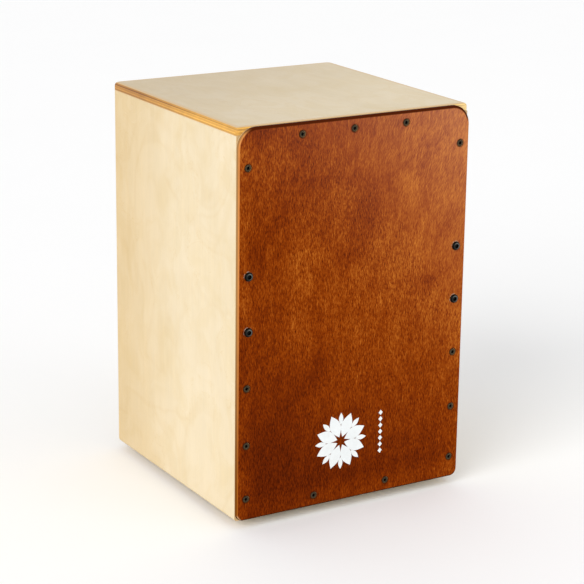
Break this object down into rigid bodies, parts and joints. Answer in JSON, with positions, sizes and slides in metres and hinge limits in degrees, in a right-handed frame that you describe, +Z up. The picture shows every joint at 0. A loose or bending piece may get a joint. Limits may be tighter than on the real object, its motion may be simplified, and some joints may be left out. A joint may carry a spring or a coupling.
{
  "type": "cajon",
  "caption": "Box drum of pale plywood with a stained screwed-on front plate, a round sound hole in the rear, inner snare wires and rubber feet.",
  "frame": {"origin": "on the floor, under the middle of the drum's bounding box, whose depth includes the proud bolt heads of the front plate", "axes": "+Z up, -Y is the way the front plate faces, +X to the right of someone looking at the front plate"},
  "size_m": [0.3, 0.3048, 0.458],
  "materials": {
    "birch_plywood": "clear satin lacquer on birch plywood, layered edges showing",
    "stained_birch": "reddish-brown stain under satin lacquer, dark stained edges",
    "spruce_batten": "raw planed softwood",
    "black_steel": "black oxide, slightly glossy",
    "zinc_plated_steel": "bright zinc plating",
    "snare_steel": "bare carbon steel wire and brazed plates",
    "white_print": "thin white screen-print ink, used only by the ornament on the front plate",
    "black_rubber": "matte moulded rubber"
  },
  "bodies": {
    "root": {"top_panel": "birch_plywood", "bottom_panel": "birch_plywood", "left_side_panel": "birch_plywood", "right_side_panel": "birch_plywood", "rear_panel": "birch_plywood", "tapa": "stained_birch", "front_batten_left": "spruce_batten", "front_batten_right": "spruce_batten", "front_batten_top": "spruce_batten", "front_batten_bottom": "spruce_batten", "rear_batten_left": "spruce_batten", "rear_batten_right": "spruce_batten", "rear_batten_top": "spruce_batten", "rear_batten_bottom": "spruce_batten", "snare_cleat_left": "spruce_batten", "snare_cleat_right": "spruce_batten", "snare_beam": "spruce_batten", "snare_set_left": "snare_steel", "snare_screw_left_1": "zinc_plated_steel", "snare_screw_left_2": "zinc_plated_steel", "snare_set_right": "snare_steel", "snare_screw_right_1": "zinc_plated_steel", "snare_screw_right_2": "zinc_plated_steel", "tapa_screw_left_1": "black_steel", "tapa_screw_left_2": "black_steel", "tapa_screw_left_3": "black_steel", "tapa_screw_left_4": "black_steel", "tapa_screw_right_1": "black_steel", "tapa_screw_right_2": "black_steel", "tapa_screw_right_3": "black_steel", "tapa_screw_right_4": "black_steel", "tapa_screw_top_1": "black_steel", "tapa_screw_top_2": "black_steel", "tapa_screw_top_3": "black_steel", "tapa_screw_bottom_1": "black_steel", "tapa_screw_bottom_2": "black_steel", "snare_bolt_left_lower": "black_steel", "snare_nut_left_lower": "zinc_plated_steel", "snare_bolt_left_upper": "black_steel", "snare_nut_left_upper": "zinc_plated_steel", "snare_bolt_right_lower": "black_steel", "snare_nut_right_lower": "zinc_plated_steel", "snare_bolt_right_upper": "black_steel", "snare_nut_right_upper": "zinc_plated_steel", "foot_front_left": "black_rubber", "foot_screw_front_left": "zinc_plated_steel", "foot_front_right": "black_rubber", "foot_screw_front_right": "zinc_plated_steel", "foot_rear_left": "black_rubber", "foot_screw_rear_left": "zinc_plated_steel", "foot_rear_right": "black_rubber", "foot_screw_rear_right": "zinc_plated_steel"}
  },
  "joints": []
}
